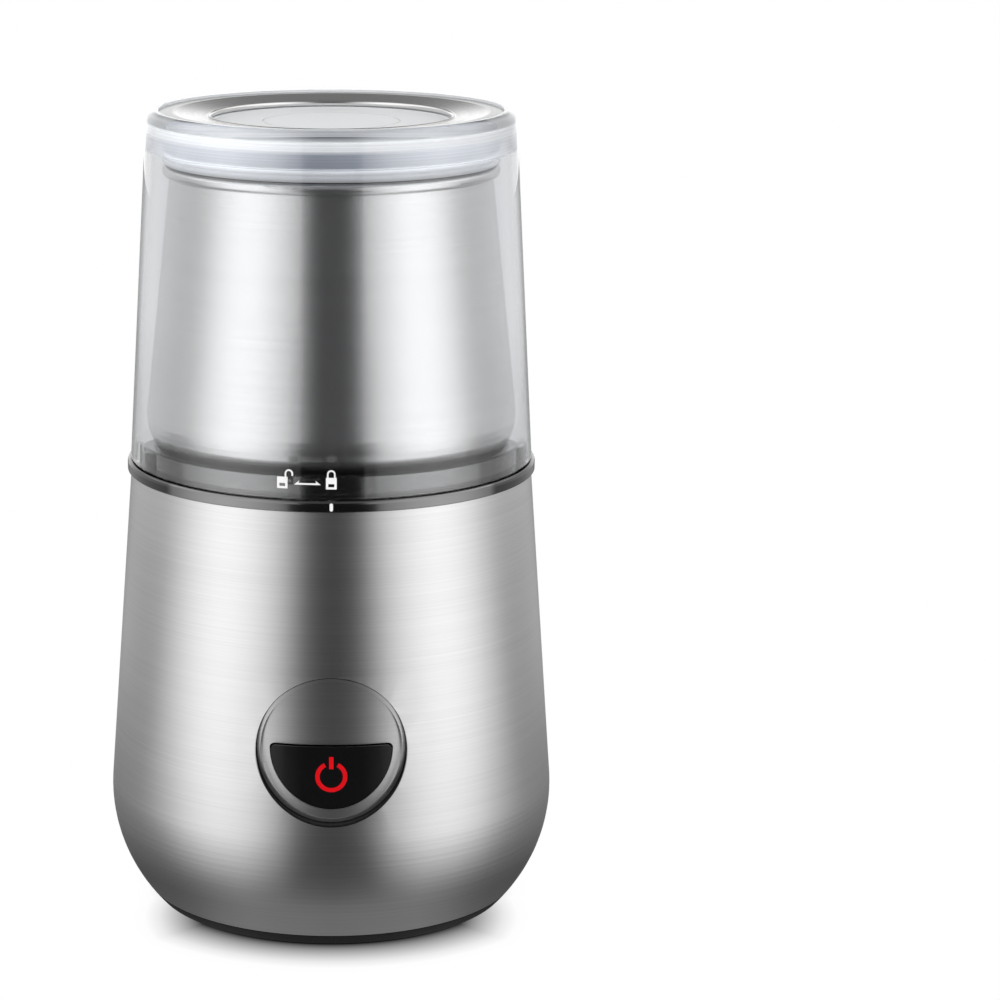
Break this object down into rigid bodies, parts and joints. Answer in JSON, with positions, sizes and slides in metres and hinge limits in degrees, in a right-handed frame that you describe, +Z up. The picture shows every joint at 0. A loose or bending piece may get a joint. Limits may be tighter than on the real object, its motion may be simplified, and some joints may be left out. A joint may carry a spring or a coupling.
{
  "type": "electric spice grinder",
  "caption": "Upright electric spice grinder: tapered steel motor base with a round button panel, lift-out steel cup and a clear lid that turns to lock.",
  "frame": {"origin": "centre of the footprint, at the height the rubber feet stand on", "axes": "+Z up along the axis of the cup and motor, -Y towards the button"},
  "size_m": [0.1102, 0.1099, 0.1973],
  "materials": {
    "brushed_steel": "horizontally brushed",
    "cup_steel": "horizontally brushed",
    "panel_steel": "brushed, slightly dark",
    "ring_steel": "satin with a bright lip",
    "blade_steel": "satin",
    "plated_steel": "zinc plated",
    "cast_metal": "die cast",
    "lamination_steel": "varnished laminations",
    "copper_winding": "enamelled copper",
    "brass": "plain",
    "carbon": "matt",
    "clear_plastic": "clear polished plastic",
    "frosted_plastic": "pale frosted",
    "clear_silicone": "translucent silicone",
    "black_plastic": "black, half gloss",
    "gloss_black": "glossy black",
    "housing_plastic": "matt",
    "pale_plastic": "matt",
    "board_green": "solder mask",
    "rubber": "matt",
    "red_silicone": "matt",
    "red_symbol": "lit red",
    "white_print": "printed white"
  },
  "bodies": {
    "base": {"steel_shell": "brushed_steel", "inner_housing": "housing_plastic", "collar": "black_plastic", "index_mark": "white_print", "bottom_cover": "black_plastic", "rubber_feet": "rubber", "cover_screws": "plated_steel", "collar_screws": "plated_steel", "button_bezel": "panel_steel", "button_switch": "housing_plastic", "circuit_board": "board_green", "board_screws": "plated_steel", "power_leds": "red_symbol", "board_capacitor": "pale_plastic", "cord_gland": "black_plastic", "top_bracket": "cast_metal", "bottom_bracket": "cast_metal", "motor_bearings": "plated_steel", "mount_dampers": "rubber", "damper_screws": "plated_steel", "motor_bolts": "plated_steel", "stator_core": "lamination_steel", "field_coils": "copper_winding", "brush_holders": "brass", "carbon_brushes": "carbon", "interlock_switch": "housing_plastic", "button_spring": "plated_steel", "interlock_spring": "plated_steel"},
    "button": {"button_cap": "gloss_black", "power_symbol": "red_symbol", "switch_plunger": "pale_plastic"},
    "interlock": {"interlock_pin": "pale_plastic"},
    "rotor": {"motor_shaft": "plated_steel", "rotor_core": "lamination_steel", "rotor_windings": "copper_winding", "commutator": "copper_winding", "cooling_fan": "pale_plastic", "drive_coupling": "black_plastic"},
    "cup": {"cup_bowl": "cup_steel", "cup_base": "black_plastic", "cup_bush": "plated_steel", "bush_nut": "plated_steel", "bush_seal": "red_silicone"},
    "blade": {"blade_shaft": "plated_steel", "driven_coupling": "black_plastic", "blade": "blade_steel", "blade_washer": "plated_steel", "blade_nut": "plated_steel"},
    "seal": {"lid_seal": "clear_silicone"},
    "lid": {"lid_cover": "clear_plastic", "top_ring": "ring_steel", "lid_window": "frosted_plastic", "lock_icons": "white_print"}
  },
  "joints": [
    {"name": "cup_lift", "type": "slide", "parent": "base", "child": "cup", "axis": [0, 0, 1], "range_m": [0, 0.06]},
    {"name": "blade_spin", "type": "hinge", "parent": "cup", "child": "blade", "pos_m": [0, 0, 0.12], "axis": [0, 0, 1], "continuous": true},
    {"name": "motor_spin", "type": "hinge", "parent": "base", "child": "rotor", "pos_m": [0, 0, 0.06], "axis": [0, 0, 1], "continuous": true},
    {"name": "lid_lift", "type": "slide", "parent": "cup", "child": "seal", "axis": [0, 0, 1], "range_m": [0, 0.09]},
    {"name": "lid_turn", "type": "hinge", "parent": "seal", "child": "lid", "pos_m": [0, 0, 0.15], "axis": [0, 0, 1], "range_deg": [0, 13]},
    {"name": "button_press", "type": "slide", "parent": "base", "child": "button", "axis": [0, 1, 0], "range_m": [0, 0.0015], "stiffness_N_per_m": 900, "springref_m": -0.001, "deforming": ["button_spring"]},
    {"name": "interlock_slide", "type": "slide", "parent": "base", "child": "interlock", "axis": [0, 0, 1], "range_m": [0, 0.0025], "deforming": ["interlock_spring"]}
  ],
  "couplings": [
    {"joint": "blade_spin", "follows": "motor_spin", "ratio": 1},
    {"joint": "interlock_slide", "follows": "lid_turn", "m_per_rad": 0.011}
  ]
}
